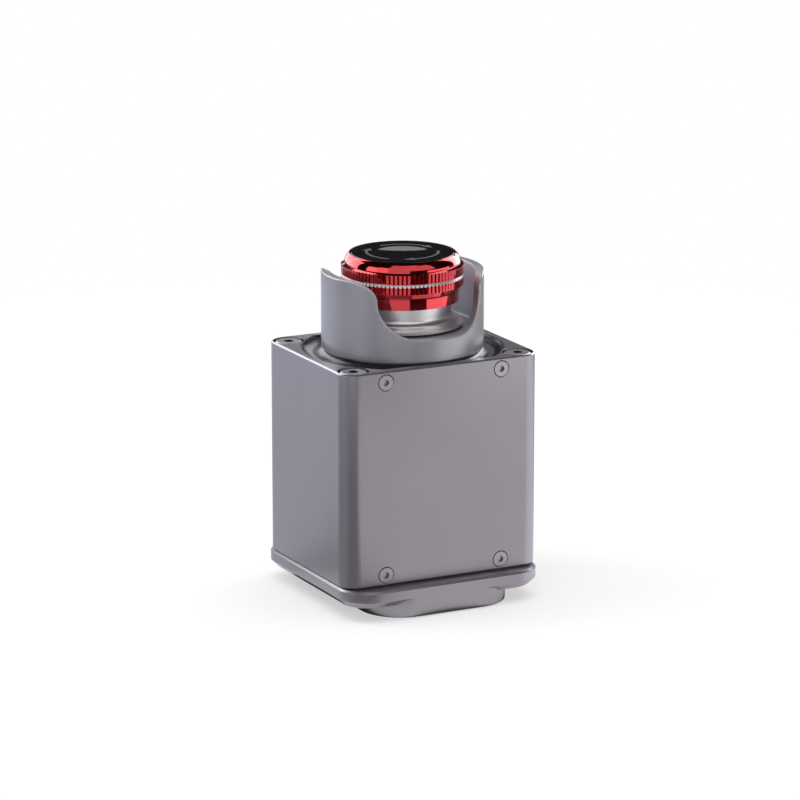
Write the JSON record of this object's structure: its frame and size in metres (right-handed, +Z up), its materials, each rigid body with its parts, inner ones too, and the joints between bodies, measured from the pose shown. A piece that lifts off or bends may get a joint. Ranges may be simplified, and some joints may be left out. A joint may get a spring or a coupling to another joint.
{
  "type": "emergency stop push button",
  "caption": "Free-standing emergency stop: red knurled mushroom head in a notched guard collar on an anodised aluminium housing with base plate and rear lead inlet.",
  "frame": {"origin": "on the ground under the axis of the push button, at the middle of the foot pad's underside", "axes": "+Z up along the button's axis, -Y out of the front with the four screws, +X to the right seen from the front"},
  "size_m": [0.071, 0.0694, 0.1131],
  "materials": {
    "anodised": "satin anodised",
    "steel": "turned",
    "red": "red anodised, glossy",
    "black_gloss": "gloss",
    "black_plastic": "moulded",
    "grey_plastic": "moulded",
    "brass": "turned",
    "rubber": "matte"
  },
  "bodies": {
    "base": {"base_plate": "anodised", "foot_pad": "rubber", "housing": "anodised", "corner_bolts": "steel", "front_screws": "steel", "switch_carrier": "anodised", "guard_collar": "anodised", "collar_pin": "steel", "bezel": "steel", "bezel_gasket": "rubber", "lock_nut": "steel", "guide_bush": "brass", "latch_ring": "steel", "return_spring": "steel", "block_adapter": "black_plastic", "block_screws": "steel", "terminal_screws": "steel", "inlet_socket": "steel", "inlet_insert": "black_plastic", "inlet_pins": "brass", "inlet_nut": "steel", "contact_block_left": "black_plastic", "contact_block_right": "black_plastic", "contact_lid_left": "black_plastic", "contact_lid_right": "black_plastic", "contact_spring_left": "steel", "contact_spring_right": "steel", "fixed_contacts_left": "brass", "fixed_contacts_right": "brass"},
    "pusher": {"contact_pusher": "grey_plastic", "spring_seat": "steel"},
    "head": {"mushroom_head": "red", "head_screw": "steel", "head_disc": "black_gloss", "stem": "steel", "stem_clip": "steel"},
    "left_contact": {"contact_plunger_left": "grey_plastic", "contact_bridge_left": "brass"},
    "right_contact": {"contact_plunger_right": "grey_plastic", "contact_bridge_right": "brass"}
  },
  "joints": [
    {"name": "push", "type": "slide", "parent": "base", "child": "pusher", "axis": [0, 0, -1], "range_m": [0, 0.0045], "stiffness_N_per_m": 2000, "springref_m": -0.004, "deforming": ["return_spring"]},
    {"name": "twist", "type": "hinge", "parent": "pusher", "child": "head", "pos_m": [0, 0, 0.1], "axis": [0, 0, -1], "range_deg": [0, 40], "stiffness_Nm_per_rad": 0.05, "springref_deg": -11.46},
    {"name": "left_contact_slide", "type": "slide", "parent": "base", "child": "left_contact", "axis": [0, 0, -1], "range_m": [0, 0.0045], "deforming": ["contact_spring_left"]},
    {"name": "right_contact_slide", "type": "slide", "parent": "base", "child": "right_contact", "axis": [0, 0, -1], "range_m": [0, 0.0045], "deforming": ["contact_spring_right"]}
  ],
  "couplings": [
    {"joint": "left_contact_slide", "follows": "push", "ratio": 1},
    {"joint": "right_contact_slide", "follows": "push", "ratio": 1}
  ]
}
